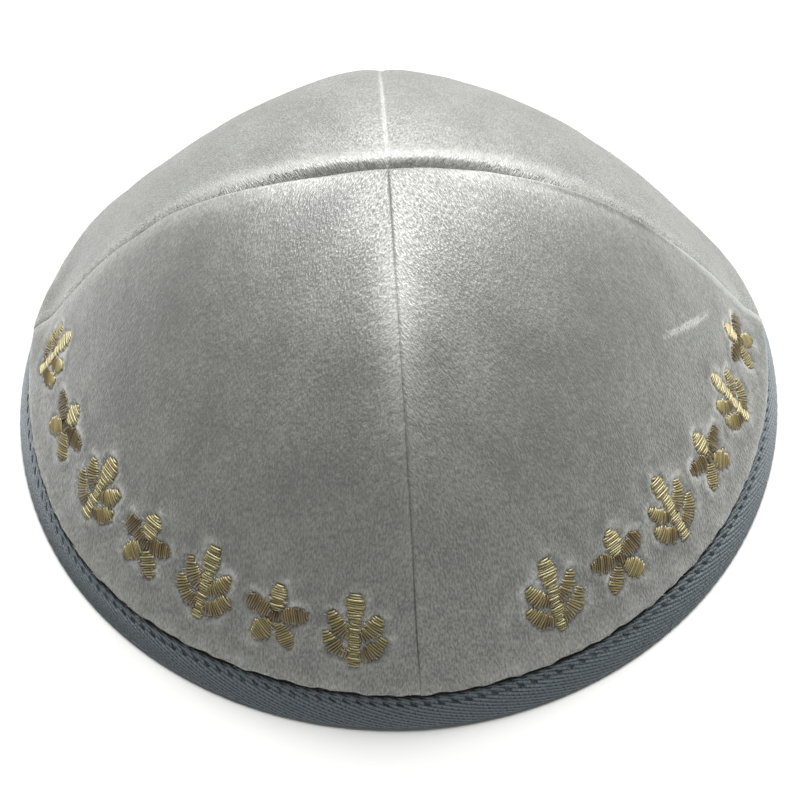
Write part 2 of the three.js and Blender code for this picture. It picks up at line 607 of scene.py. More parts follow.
@dataclass(frozen=True)
class BackingCloth:
    """Plain-woven polyester backing inside the cap: matt, with a small even weave."""

    shade: str = "#8f9192"
    light: str = "#b4b6b6"
    thread: float = 0.9  # drawn coarser than the real 0.4 mm so that it shows

    def make(self) -> bpy.types.Material:
        """Makes the backing's material, a checked weave on the cloth's own grain.

        Returns:
            The inner face's material.
        """
        material, tree = new_material("plain_woven_backing")
        cloth = add_node(tree, "UVMap", {"uv_map": "cloth"}).outputs["UV"]
        waves = []
        for direction in ("X", "Y"):
            settings = {"wave_type": "BANDS", "bands_direction": direction, "wave_profile": "SIN"}
            scale = CLOTH_UNIT / self.thread * math.pi / 10
            wave = {"Vector": cloth, "Scale": scale, "Distortion": 0.6, "Detail": 1.0}
            waves.append(add_node(tree, "TexWave", settings, wave).outputs["Fac"])
        weave = add_node(tree, "Math", {"operation": "MULTIPLY"}, {0: waves[0], 1: waves[1]}).outputs[0]
        ramp = add_node(tree, "ValToRGB", None, {"Fac": weave})
        ramp.color_ramp.elements[0].color = linear(self.shade)
        ramp.color_ramp.elements[1].color = linear(self.light)
        bump = add_node(tree, "Bump", None, {"Height": weave, "Strength": 0.8, "Distance": 0.15 * MM})
        shader = add_node(
            tree,
            "BsdfPrincipled",
            None,
            {
                "Base Color": ramp.outputs["Color"],
                "Normal": bump.outputs["Normal"],
                "Roughness": 0.85,
                "Specular IOR Level": 0.25,
            },
        )
        add_node(tree, "OutputMaterial", None, {"Surface": shader.outputs[0]})
        return material


@dataclass(frozen=True)
class TwillTape:
    """Slate cotton twill tape: matt woven wales that lean along the tape, with painted shade in the gaps
    between them.
    """

    gap_shade: str = "#1f272b"
    wale: str = "#98a4aa"
    wale_pitch: float = 0.68
    wale_count: int = 208
    float_length: float = 1.1

    def make(self, round_the_rim: float) -> bpy.types.Material:
        """Makes the tape's material.

        Args:
            round_the_rim: the tape's length, in millimetres.

        Returns:
            A material whose wales follow the tape's own UV map.
        """
        material, tree = new_material("cotton_twill_tape")
        tape = add_node(tree, "UVMap", {"uv_map": "cloth"}).outputs["UV"]
        along = self.wale_count / round_the_rim * CLOTH_UNIT
        across = -CLOTH_UNIT / self.wale_pitch
        dot = {"operation": "DOT_PRODUCT"}
        phase = add_node(tree, "VectorMath", dot, {0: tape, 1: (along, across, 0)}).outputs["Value"]
        ridge = add_node(tree, "Math", {"operation": "PINGPONG"}, {0: phase, 1: 0.5}).outputs[0]
        step = add_node(tree, "Math", {"operation": "FLOOR"}, {0: phase}).outputs[0]
        run = CLOTH_UNIT / self.float_length
        place = add_node(tree, "VectorMath", dot, {0: tape, 1: (run, run * 0.15, 0)}).outputs["Value"]
        shifted = add_node(tree, "Math", {"operation": "MULTIPLY_ADD"}, {0: step, 1: 0.37, 2: place})
        floats = add_node(tree, "Math", {"operation": "PINGPONG"}, {0: shifted.outputs[0], 1: 0.5}).outputs[0]
        fuzz_scale = CLOTH_UNIT / 0.35
        fuzz_inputs = {"Vector": tape, "Scale": fuzz_scale, "Detail": 2.0}
        fuzz = add_node(tree, "TexNoise", {"noise_dimensions": "2D"}, fuzz_inputs).outputs["Fac"]
        yarn = add_node(tree, "Math", {"operation": "MULTIPLY_ADD"}, {0: floats, 1: 0.2, 2: ridge})
        height = add_node(tree, "Math", {"operation": "MULTIPLY_ADD"}, {0: fuzz, 1: 0.5, 2: yarn.outputs[0]})
        # The ramp's dark end is painted shade in the gaps between the wales; its light end is the tape's
        # slate.
        ramp = add_node(tree, "ValToRGB", None, {"Fac": height.outputs[0]})
        ramp.color_ramp.elements[0].position = 0.27
        ramp.color_ramp.elements[0].color = linear(self.gap_shade)
        ramp.color_ramp.elements[1].position = 0.72
        ramp.color_ramp.elements[1].color = linear(self.wale)
        bump_inputs = {"Height": height.outputs[0], "Strength": 1.0, "Distance": 0.3 * MM}
        shader = add_node(
            tree,
            "BsdfPrincipled",
            None,
            {
                "Base Color": ramp.outputs["Color"],
                "Normal": add_node(tree, "Bump", None, bump_inputs).outputs["Normal"],
                "Roughness": 0.8,
                "Specular IOR Level": 0.3,
                "Sheen Weight": 0.7,
                "Sheen Roughness": 0.5,
                "Sheen Tint": linear("#d4dadc"),
            },
        )
        add_node(tree, "OutputMaterial", None, {"Surface": shader.outputs[0]})
        return material


@dataclass(frozen=True)
class SpunThread:
    """A thread for sewing or embroidery, or a loose pile fibre: smooth, with strands that differ in tone."""

    name: str
    dark: str
    light: str
    roughness: float
    specular: float
    index: float = 1.5
    tint: str = "#ffffff"

    def make(self) -> bpy.types.Material:
        """Makes the thread's material, toned strand by strand.

        Returns:
            A material that reads the strand attribute.
        """
        material, tree = new_material(self.name)
        strand = add_node(tree, "Attribute", {"attribute_name": "strand"}).outputs["Fac"]
        ramp = add_node(tree, "ValToRGB", None, {"Fac": strand})
        ramp.color_ramp.elements[0].color = linear(self.dark)
        ramp.color_ramp.elements[1].color = linear(self.light)
        shader = add_node(
            tree,
            "BsdfPrincipled",
            None,
            {
                "Base Color": ramp.outputs["Color"],
                "Roughness": self.roughness,
                "Specular IOR Level": self.specular,
                "IOR": self.index,
                "Specular Tint": linear(self.tint),
            },
        )
        add_node(tree, "OutputMaterial", None, {"Surface": shader.outputs[0]})
        return material


@dataclass(frozen=True)
class PaperFloor:
    """White seamless background paper: matt, with a faint tooth."""

    colour: str = "#e6e6e4"

    def make(self) -> bpy.types.Material:
        """Makes the paper's material.

        Returns:
            The floor's material.
        """
        material, tree = new_material("seamless_paper")
        spot = add_node(tree, "TexCoord").outputs["Object"]
        tooth = add_node(tree, "TexNoise", None, {"Vector": spot, "Scale": 900.0, "Detail": 2.0})
        bump = {"Height": tooth.outputs["Fac"], "Strength": 0.1, "Distance": 0.05 * MM}
        shader = add_node(
            tree,
            "BsdfPrincipled",
            None,
            {
                "Base Color": linear(self.colour),
                "Normal": add_node(tree, "Bump", None, bump).outputs["Normal"],
                "Roughness": 0.95,
                "Specular IOR Level": 0.1,
            },
        )
        add_node(tree, "OutputMaterial", None, {"Surface": shader.outputs[0]})
        return material


def link_mesh(name: str, mesh: bpy.types.Mesh, materials: list[bpy.types.Material]) -> bpy.types.Object:
    """Puts a finished mesh in the scene as a smooth-shaded object at the origin.

    Args:
        name: the piece's name.
        mesh: its mesh, in place.
        materials: its material slots in order.

    Returns:
        The new object.
    """
    piece = bpy.data.objects.new(name, mesh)
    bpy.context.scene.collection.objects.link(piece)
    for material in materials:
        mesh.materials.append(material)
    mesh.polygons.foreach_set("use_smooth", [True] * len(mesh.polygons))
    mesh.update()
    return piece


def read_points(mesh: bpy.types.Mesh) -> np.ndarray:
    """Reads a mesh's vertices.

    Args:
        mesh: the mesh to read.

    Returns:
        Rows of x, y and z.
    """
    flat = np.zeros(len(mesh.vertices) * 3)
    mesh.vertices.foreach_get("co", flat)
    return flat.reshape(-1, 3)


def write_points(mesh: bpy.types.Mesh, points: np.ndarray) -> None:
    """Moves a mesh's vertices to the given rows of x, y and z."""
    mesh.vertices.foreach_set("co", points.astype(np.float32).ravel())
    mesh.update()


def write_cloth_map(mesh: bpy.types.Mesh, per_corner: np.ndarray) -> None:
    """Gives a mesh its cloth map, in units of CLOTH_UNIT, from millimetres at each face corner."""
    layer = mesh.uv_layers.new(name="cloth")
    layer.data.foreach_set("uv", (per_corner / CLOTH_UNIT).astype(np.float32).ravel())


def corner_vertices(mesh: bpy.types.Mesh) -> np.ndarray:
    """Finds which vertex each face corner uses.

    Args:
        mesh: the mesh to read.

    Returns:
        A vertex number for each face corner.
    """
    numbers = np.zeros(len(mesh.loops), dtype=np.int32)
    mesh.loops.foreach_get("vertex_index", numbers)
    return numbers


@dataclass
class StrandBundle:
    """Many short threads joined in one mesh: each is a closed tube along its own small path."""

    sides: int = 6

    def build(
        self, name: str, paths: np.ndarray, outward: np.ndarray, radius: np.ndarray | float, tones: np.ndarray
    ) -> bpy.types.Mesh:
        """Sweeps a tube along every path.

        Args:
            name: the mesh's name.
            paths: points in metres, as threads by steps by three.
            outward: the cloth's outward direction at each point.
            radius: the thread's radius in millimetres, one for all or one for each step.
            tones: one value from 0 to 1 for each thread, kept as the strand attribute.

        Returns:
            One mesh with every thread in it.
        """
        threads, steps, _ = paths.shape
        tangent = np.gradient(paths, axis=1)
        tangent /= np.linalg.norm(tangent, axis=-1, keepdims=True)
        beside = np.cross(tangent, outward)
        beside /= np.linalg.norm(beside, axis=-1, keepdims=True)
        above = np.cross(beside, tangent)
        angles = np.arange(self.sides) * 2 * math.pi / self.sides
        ring = np.cos(angles)[:, None] * above[:, :, None] + np.sin(angles)[:, None] * beside[:, :, None]
        girth = np.broadcast_to(np.asarray(radius, dtype=float), (steps,))
        points = paths[:, :, None] + ring * girth[:, None, None] * MM
        number = np.arange(threads * steps * self.sides).reshape(threads, steps, self.sides)
        after = np.roll(number, -1, axis=2)
        walls = np.stack([number[:, :-1], number[:, 1:], after[:, 1:], after[:, :-1]], axis=-1)
        faces = walls.reshape(-1, 4).tolist()
        faces += number[:, 0].tolist()
        faces += number[:, -1, ::-1].tolist()
        mesh = bpy.data.meshes.new(name)
        mesh.from_pydata(points.reshape(-1, 3).tolist(), [], faces)
        strand = mesh.attributes.new("strand", "FLOAT", "POINT")
        strand.data.foreach_set("value", np.repeat(tones, steps * self.sides).astype(np.float32))
        return mesh


@dataclass(frozen=True)
class SatinStroke:
    """A column of satin stitch, in mm: a spine of three points and its start, middle and end widths."""

    start: tuple[float, float]
    bend: tuple[float, float]
    end: tuple[float, float]
    widths: tuple[float, float, float]

    def mirrored(self) -> "SatinStroke":
        """Returns the same stroke on the other side of the motif's middle."""
        flip = [(-x, y) for x, y in (self.start, self.bend, self.end)]
        return SatinStroke(flip[0], flip[1], flip[2], self.widths)

    def threads(self, pitch: float) -> tuple[np.ndarray, np.ndarray, np.ndarray]:
        """Lays threads across the spine.

        Args:
            pitch: the space from one thread to the next, in millimetres.

        Returns:
            Each thread's middle, its direction across and its half width.
        """
        start, bend, end = (np.array(p) for p in (self.start, self.bend, self.end))
        fine = np.linspace(0, 1, 200)[:, None]
        spine = (1 - fine) ** 2 * start + 2 * fine * (1 - fine) * bend + fine**2 * end
        lengths = np.concatenate([[0], np.cumsum(np.linalg.norm(np.diff(spine, axis=0), axis=1))])
        count = max(3, round(lengths[-1] / pitch))
        at = (np.arange(count) + 0.5) / count
        share = np.interp(at * lengths[-1], lengths, fine[:, 0])[:, None]
        middle = (1 - share) ** 2 * start + 2 * share * (1 - share) * bend + share**2 * end
        ahead = 2 * (1 - share) * (bend - start) + 2 * share * (end - bend)
        ahead /= np.linalg.norm(ahead, axis=1, keepdims=True)
        across = np.stack([-ahead[:, 1], ahead[:, 0]], axis=1)
        first, mid, last = self.widths
        swell = np.sin(math.pi * at) ** 0.75
        half = (first * (1 - at) + last * at) * (1 - swell) + mid * swell
        return middle, across, half / 2


def sprig_strokes() -> list[SatinStroke]:
    """Draws a sprig: an upright stem with two pairs of curved leaves and a leaf at its tip.

    Returns:
        Its satin columns.
    """
    low_leaf = SatinStroke((0.9, 2.2), (3.6, 2.4), (5.6, 6.6), (1.2, 3.2, 0.7))
    high_leaf = SatinStroke((0.8, 6.2), (3.0, 6.6), (4.6, 10.8), (1.2, 3.1, 0.7))
    return [
        SatinStroke((0, 0), (0, 5), (0, 9.6), (2.2, 2.2, 2.0)),
        low_leaf,
        low_leaf.mirrored(),
        high_leaf,
        high_leaf.mirrored(),
        SatinStroke((0, 9.4), (0, 12), (0, 15), (1.8, 3.4, 0.7)),
    ]


def flower_strokes() -> list[SatinStroke]:
    """Draws a flower: five pointed petals round a small satin middle.

    Returns:
        Its satin columns.
    """
    middle = np.array((0.0, 6.6))
    petals = []
    for number in range(5):
        angle = QUARTER + number * 2 * math.pi / 5
        ray = np.array((math.cos(angle), math.sin(angle)))
        inner, halfway, outer = (tuple(middle + ray * reach) for reach in (1.3, 4.0, 6.6))
        petals.append(SatinStroke(inner, halfway, outer, (1.4, 3.5, 0.7)))
    return petals + [SatinStroke((-1.0, 6.6), (0, 6.6), (1.0, 6.6), (1.5, 2.1, 1.5))]


class Motif(Enum):
    """The two generic motifs of the band."""

    SPRIG = "sprig"
    FLOWER = "flower"

    def strokes(self) -> list[SatinStroke]:
        """Returns the motif's satin columns, from its foot upwards."""
        return sprig_strokes() if self is Motif.SPRIG else flower_strokes()


@dataclass
class SatinBand:
    """A band of motifs in gold satin stitch on one front gore."""

    panel: "VelvetPanel"
    name: str
    first_turn: float = -36.0
    last_turn: float = 36.0
    motifs: int = 7
    foot_above_rim: float = 14.0
    pitch: float = 0.5
    thread_radius: float = 0.2
    end_scatter: float = 0.18
    skew_scatter: float = 0.06
    lift_scatter: float = 0.05
    painted_sheen_share: float = 0.65  # how much of a thread's tone its direction gives as painted highlight and shade, and chance the rest
    seed: int = 7

    def layout(self) -> list[tuple[Motif, float]]:
        """Spreads the motifs along the band, the two kinds by turns.

        Returns:
            Each motif with its turn from the gore's middle, in degrees.
        """
        turns = np.linspace(self.first_turn, self.last_turn, self.motifs)
        kinds = (Motif.SPRIG, Motif.FLOWER)
        return [(kinds[i % 2], float(turn)) for i, turn in enumerate(turns)]

    def on_dome(self, flat: np.ndarray, turn: float, lift: np.ndarray) -> np.ndarray:
        """Lays a motif's flat points on the gore.

        Args:
            flat: points in millimetres, x to the side and y up from the motif's foot.
            turn: the motif's turn from the gore's middle, in degrees.
            lift: distances out from the cloth.

        Returns:
            Points in metres.
        """
        dome, gore = self.panel.dome, self.panel.gore
        foot = dome.arc_of_level(1.0) - self.foot_above_rim
        level = dome.level_of_arc(foot - flat[..., 1])
        middle = np.full_like(level, math.radians(turn))
        here = middle + flat[..., 0] / dome.radius(gore, middle, level)
        return dome.place(gore, here, level, lift + self.panel.face_lift(here, level))

    def paths(self) -> tuple[np.ndarray, np.ndarray, np.ndarray]:
        """Lays every thread of the band.

        Returns:
            The threads' points, the outward direction at each point, and 1 for a thread that runs level
            round the cap or 0 for one that runs up it.
        """
        rng = np.random.default_rng(self.seed)
        across = np.array([-1.0, -0.94, -0.62, 0.0, 0.62, 0.94, 1.0])
        arch = np.array([-0.5, -0.04, 0.09, 0.12, 0.09, -0.04, -0.5])
        laid, outward, level_run = [], [], []
        for motif, turn in self.layout():
            for stroke in motif.strokes():
                middle, side, half = stroke.threads(self.pitch)
                reach = half[:, None] + rng.normal(0, self.end_scatter, (len(half), 1))
                skew = rng.normal(0, self.skew_scatter, (len(half), 1))
                ahead = np.stack([side[:, 1], -side[:, 0]], axis=1)
                flat = middle[:, None] + side[:, None] * (across * reach)[..., None]
                flat = flat + ahead[:, None] * (across * skew)[..., None]
                lift = arch + rng.normal(0, self.lift_scatter, (len(half), 1))
                near = self.on_dome(flat, turn, lift)
                far = self.on_dome(flat, turn, lift + 1)
                laid.append(near)
                outward.append((far - near) / MM)
                level_run.append(np.abs(side[:, 0]))
        return np.concatenate(laid), np.concatenate(outward), np.concatenate(level_run)

    def build(self, finish: bpy.types.Material) -> bpy.types.Object:
        """Makes the band's threads as one piece.

        Args:
            finish: the gold thread's material.

        Returns:
            The embroidery of this gore.
        """
        paths, outward, level_run = self.paths()
        # Threads that run level round the cap take the paler tones and those that run up it the darker:
        # painted highlight and painted shade of the satin's sheen, mixed with a random tone.
        chance = np.random.default_rng(self.seed + 1).random(len(paths))
        tones = self.painted_sheen_share * level_run**3 + (1 - self.painted_sheen_share) * chance
        mesh = StrandBundle().build(self.name, paths, outward, self.thread_radius, tones)
        return link_mesh(self.name, mesh, [finish])


FOOT_MEAN = 0.9  # the foot's ragged edge: its mean, and each wave's height, count and share of facing
FOOT_WAVES = ((0.4, 39, 1), (0.6, 83, 0), (0.3, 151, 0))


@dataclass
class VelvetPanel:
    """One gore of pile cloth, from the apex down into the binding, with its seams and its worked places."""

    gore: Gore
    dome: Dome
    tape_top: float
    stitched: kdtree.KDTree | None = None
    wall: float = 1.8
    pinched_wall: float = 1.0
    foot_depth: float = 1.35
    foot_rise: float = 2.8
    tip_radius: float = 0.08
    seam_gap: float = 0.02
    edge_zone: float = 3.6
    edge_columns: int = 12
    columns: int = 168
    rows: int = 210
    foot_rows: int = 28
    pressed: float = 0.22
    pressed_width: float = 0.9
    pile_ridge: float = 0.24
    # Painted highlight on the pile round the stitching, brighter on its side towards the apex.
    stitch_painted_highlight: float = 0.4
    nap: float = 0.06
    # Painted light and shade, at random, on the pile round the worked places.
    ruffle_light_and_shade: float = 0.2
    ragged: float = 0.3
    ridge_width: float = 9.0
    seam_fade: float = 2.5
    foot_zone: float = 3.0
    # Painted sheen on the cloth's swell over the tape, and painted highlight along the folds.
    foot_painted_sheen: float = 0.1
    crease_painted_highlight: float = 4.6
    nap_clump: tuple[float, float] = (1.1, 3.4)
    nap_drift: tuple[float, float] = (9.0, 12.0)
    drift_share: float = 4.0
    ruffle_size: tuple[float, float] = (3.2, 4.6)
    seam_allowance: float = 6.0

    def levels(self) -> np.ndarray:
        """Spreads the panel's rows, even along the cloth and closer at its foot.

        Returns:
            A level for each row.
        """
        foot_start = self.dome.arc_of_level(self.dome.level_at(self.tape_top)) - self.foot_zone
        end = self.dome.arc_of_level(self.dome.level_at(self.foot_rise))
        crown = np.linspace(0, foot_start, self.rows - self.foot_rows + 1)[:-1]
        foot = np.linspace(foot_start, end, self.foot_rows + 1)
        found = self.dome.level_of_arc(np.concatenate([crown, foot]))
        return np.maximum(found, self.tip_radius / self.dome.rim_radius)

    def turns(self, share: np.ndarray, radius: np.ndarray) -> np.ndarray:
        """Spreads columns across the panel, closer beside its seams.

        Args:
            share: column places from 0 to 1.
            radius: the seam's radius in each row.

        Returns:
            Turns from the panel's middle, in radians.
        """
        limit = HALF_GORE - np.arcsin(np.clip(self.seam_gap / 2 / radius, 0, 0.5))
        zone = np.minimum(self.edge_zone / radius, 0.45 * limit)
        edge = self.edge_columns / self.columns
        from_edge = np.minimum(share, 1 - share)
        inner = (from_edge - edge) / (0.5 - edge)
        middle = (limit - zone) * (1 - inner)
        rolled = limit - zone * np.clip(from_edge / edge, 0, 1) ** 1.35
        return np.where(share < 0.5, -1, 1) * np.where(from_edge < edge, rolled, middle)

    def above_tape(self, turn: np.ndarray, level: np.ndarray) -> np.ndarray:
        """Returns the length of cloth from the tape's outside edge up to a place on the gore."""
        edge = self.tape_top - self.dome.narrowed(math.radians(self.gore.facing) + turn)
        return self.dome.arc_of_level(self.dome.level_at(edge)) - self.dome.arc_of_level(level)

    def seam_sink(self, turn: np.ndarray, level: np.ndarray) -> np.ndarray:
        """Works out how far the two seams pull the face down, above the flat foot.

        Args:
            turn: turns from the panel's middle, in radians.
            level: shares of the way from apex to rim.

        Returns:
            Depths in millimetres.
        """
        radius = self.dome.rim_radius * level
        from_low = radius * np.sin(turn + HALF_GORE)
        from_high = radius * np.sin(HALF_GORE - turn)
        low = self.gore.low_seam.sink(from_low, radius)
        high = self.gore.high_seam.sink(from_high, radius)
        free = smooth_step(self.dome.rise_at(level), self.tape_top, self.tape_top + self.seam_fade)
        corner = np.sin(self.dome.lean(level)) * np.sin(np.arctan(self.gore.squareness * (1 - level**2)))
        near = np.clip(1 - np.minimum(from_low, from_high) / self.ridge_width, 0, 1)
        rounding = corner * self.ridge_width / 2 * near**2
        return (np.where(np.abs(low) > np.abs(high), low, high) + rounding) * free

    def foot_sink(self, turn: np.ndarray, level: np.ndarray) -> np.ndarray:
        """Works out how far the foot turns in: it swells just above the tape, then dives behind it.

        Args:
            turn: turns from the panel's middle, in radians.
            level: shares of the way from apex to rim.

        Returns:
            Depths in millimetres, less than zero where the cloth swells.
        """
        above = self.above_tape(turn, level)
        facing = self.gore.facing
        waves = sum(height * np.sin(count * turn + share * facing) for height, count, share in FOOT_WAVES)
        ragged = self.ragged * (FOOT_MEAN + waves)
        dive = self.foot_depth * np.clip(1 - (above - 0.1 - ragged) / 1.2, 0, 1) ** 2
        found = dive - 0.3 * bell(above, 2.2, 1.6)
        rounded = bell(above, 3.4, np.where(above > 3.4, 4.5, 3.0))
        for swell in self.gore.swells:
            found = found - swell.lift * bell(np.degrees(turn), swell.turn, swell.spread) * rounded
        return found

    def creases(self, turn: np.ndarray, level: np.ndarray) -> np.ndarray:
        """Works out the lift of the gore's short folds.

        Args:
            turn: turns from the panel's middle, in radians.
            level: shares of the way from apex to rim.

        Returns:
            Lifts in millimetres.
        """
        lift = np.zeros_like(turn)
        for crease in self.gore.creases:
            ends = []
            for degrees, at in (crease.start, crease.end):
                side = math.radians(degrees) * self.dome.rim_radius * at
                ends.append(np.array([side, self.dome.arc_of_level(at)]))
            here = np.stack([turn * self.dome.rim_radius * level, self.dome.arc_of_level(level)], axis=-1)
            run = ends[1] - ends[0]
            along = ((here - ends[0]) @ run) / (run @ run)
            nearest = ends[0] + np.clip(along, 0, 1)[..., None] * run
            away = np.linalg.norm(here - nearest, axis=-1)
            lift += crease.height * crease.strength(along) * bell(away, 0, crease.width)
        return lift

    def face_lift(self, turn: np.ndarray, level: np.ndarray) -> np.ndarray:
        """Returns the outer face's lift from the dome, without the pile's own small relief."""
        return self.creases(turn, level) - self.seam_sink(turn, level) - self.foot_sink(turn, level)

    def from_stitches(self, points: np.ndarray) -> tuple[np.ndarray, np.ndarray]:
        """Measures to the nearest satin thread.

        Args:
            points: the face's points, in metres.

        Returns:
            Distances in millimetres, and 1 where the point is straight above the thread, towards the apex.
        """
        if self.stitched is None:
            return np.full(len(points), 99.0), np.zeros(len(points))
        found = [self.stitched.find(point) for point in points]
        away = np.array([hit[2] for hit in found]) / MM
        height = (points[:, 2] - np.array([hit[0].z for hit in found])) / MM
        return away, np.clip(height / np.maximum(away, 0.1), 0, 1)

    def pile_painted_sheen(self, turn: np.ndarray, level: np.ndarray) -> np.ndarray:
        """Works out the painted sheen on the pile's tone: painted highlights by seams, on folds and over the
        tape, and painted light and shade in soft patches.

        Args:
            turn: turns from the panel's middle, in radians.
            level: shares of the way from apex to rim.

        Returns:
            Shares of painted light above the pile's usual tone, below zero for painted shade.
        """
        radius = self.dome.rim_radius * level
        low = self.gore.low_seam.sheen_paint(radius * np.sin(turn + HALF_GORE), radius)
        high = self.gore.high_seam.sheen_paint(radius * np.sin(HALF_GORE - turn), radius)
        found = np.maximum(low, high) + self.crease_painted_highlight * self.creases(turn, level)
        found += self.foot_painted_sheen * bell(self.above_tape(turn, level), 2.0, 1.6)
        for patch in self.gore.painted_patches:
            across = bell(np.degrees(turn), patch.turn, patch.turn_spread)
            found += patch.amount * across * bell(level, patch.level, patch.level_spread)
        return found

    def mottle(
        self, across: np.ndarray, along: np.ndarray, size: tuple[float, float], layer: int
    ) -> np.ndarray:
        """Spreads soft noise over the cloth.

        Args:
            across: places across the grain, in millimetres.
            along: places along the grain, in millimetres.
            size: the noise's size across and along the grain, in millimetres.
            layer: which of the gore's noises it is.

        Returns:
            Shares above and below zero.
        """
        width, length = size
        plane = self.gore.facing + layer
        return np.array([noise.noise((u / width, v / length, plane)) for u, v in zip(across, along)])

    def nap_lift(self, across: np.ndarray, along: np.ndarray) -> np.ndarray:
        """Raises the pile's small clumps, drawn out along the grain.

        Args:
            across: places across the grain, in millimetres.
            along: places along the grain, in millimetres.

        Returns:
            Lifts in millimetres.
        """
        clumps = self.mottle(across, along, self.nap_clump, 0)
        drift = self.mottle(across, along, self.nap_drift, 5)
        return self.nap * (clumps + self.drift_share * drift)

    def sheen_mottle(self, across: np.ndarray, along: np.ndarray) -> np.ndarray:
        """Returns random shares, above and below zero, by which the painted light and shade are mottled where
        the cloth was worked.
        """
        return self.mottle(across, along, self.ruffle_size, 9)

    def grid(self) -> bpy.types.Mesh:
        """Makes a closed flat slab of rows and columns.

        Returns:
            A mesh with x and y from 0 to 1, and z 1 outside and 0 inside.
        """
        shape = bmesh.new()
        bmesh.ops.create_grid(shape, x_segments=self.columns, y_segments=self.rows, size=0.5)
        bmesh.ops.translate(shape, verts=shape.verts, vec=(0.5, 0.5, 0))
        grown = bmesh.ops.extrude_face_region(shape, geom=shape.faces[:])
        outer = [item for item in grown["geom"] if isinstance(item, bmesh.types.BMVert)]
        bmesh.ops.translate(shape, verts=outer, vec=(0, 0, 1))
        bmesh.ops.recalc_face_normals(shape, faces=shape.faces)
        mesh = bpy.data.meshes.new(self.gore.node + "_velvet")
        shape.to_mesh(mesh)
        shape.free()
        return mesh

    def build(self, pile: bpy.types.Material, backing: bpy.types.Material) -> bpy.types.Object:
        """Bends the slab over the dome and dresses it.

        Args:
            pile: the outer face's material.
            backing: the inner face's material.

        Returns:
            The panel.
        """
        mesh = self.grid()
        flat = read_points(mesh)
        row = np.rint((1 - flat[:, 1]) * self.rows).astype(int)
        level = self.levels()[row]
        turn = self.turns(flat[:, 0], self.dome.rim_radius * level)
        outside = flat[:, 2] > 0.5
        grain = math.radians(self.gore.grain)
        side, down = turn * self.dome.rim_radius * level, self.dome.arc_of_level(level)
        across = side * math.cos(grain) - down * math.sin(grain)
        along = side * math.sin(grain) + down * math.cos(grain)
        face_lift = self.face_lift(turn, level)
        bare = self.dome.place(self.gore, turn, level, face_lift)
        free = smooth_step(self.dome.rise_at(level), self.tape_top, self.tape_top + self.foot_zone)
        away, above = self.from_stitches(bare[outside])
        worked = np.zeros(len(flat))
        worked[outside] = self.pile_ridge * bell(away, 1.2, 0.8)
        worked[outside] -= self.pressed * smooth_step(away, self.pressed_width, 0.2)
        worked[outside] += self.nap_lift(across[outside], along[outside])
        # The sheen attribute is painted light and shade on the pile's tone: highlights by seams, folds and
        # the tape, a highlight round the stitching on its side towards the apex, and random light and shade
        # round the worked places.
        sheen_paint = np.zeros(len(flat))
        sheen_paint[outside] = self.pile_painted_sheen(turn[outside], level[outside])
        sheen_mottle = self.sheen_mottle(across[outside], along[outside])
        sheen_paint[outside] += self.stitch_painted_highlight * bell(away, 0.9, 0.7) * (0.25 + above) * (0.8 + 1.2 * sheen_mottle)
        from_foot = self.dome.arc_of_level(1.0) - down[outside]
        worked_share = np.maximum(bell(away, 0, 6.0), 0.6 * bell(from_foot, 8.0, 7.0))
        sheen_paint[outside] += self.ruffle_light_and_shade * sheen_mottle * worked_share
        pinch = self.foot_depth + self.pinched_wall
        inner_lift = -(self.wall + (pinch - self.wall) * (1 - free))
        lift = np.where(outside, face_lift + worked * free, inner_lift)
        write_points(mesh, self.dome.place(self.gore, turn, level, lift))
        corners = corner_vertices(mesh)
        write_cloth_map(mesh, np.stack([across, along], axis=1)[corners])
        standing = mesh.attributes.new("sheen_paint", "FLOAT", "POINT")
        standing.data.foreach_set("value", sheen_paint.astype(np.float32))
        piece = link_mesh(self.gore.node + "_velvet", mesh, [pile, backing])
        sizes = np.zeros(len(mesh.polygons), dtype=np.int32)
        mesh.polygons.foreach_get("loop_total", sizes)
        outer_share = np.add.reduceat(outside[corners].astype(float), np.cumsum(sizes) - sizes) / sizes
        mesh.polygons.foreach_set("material_index", (outer_share < 0.1).astype(np.int32))
        return piece

    def cut_size(self) -> tuple[float, float, float]:
        """Measures the gore as it was cut, with its seam allowance.

        Returns:
            Its flat width and length in metres, and its area in square metres.
        """
        allowance = self.seam_allowance
        levels, lengths = self.dome.arcs()
        facing = math.radians(self.gore.facing)
        low = self.dome.swayed(np.full_like(levels, facing - HALF_GORE), levels)
        high = self.dome.swayed(np.full_like(levels, facing + HALF_GORE), levels)
        widths = (high - low) * self.dome.rim_radius * levels
        sewn = np.sum((widths[1:] + widths[:-1]) / 2 * np.diff(lengths))
        area = sewn + allowance * (2 * lengths[-1] + widths[-1])
        return (widths[-1] + 2 * allowance) * MM, (lengths[-1] + allowance) * MM, area * MM * MM


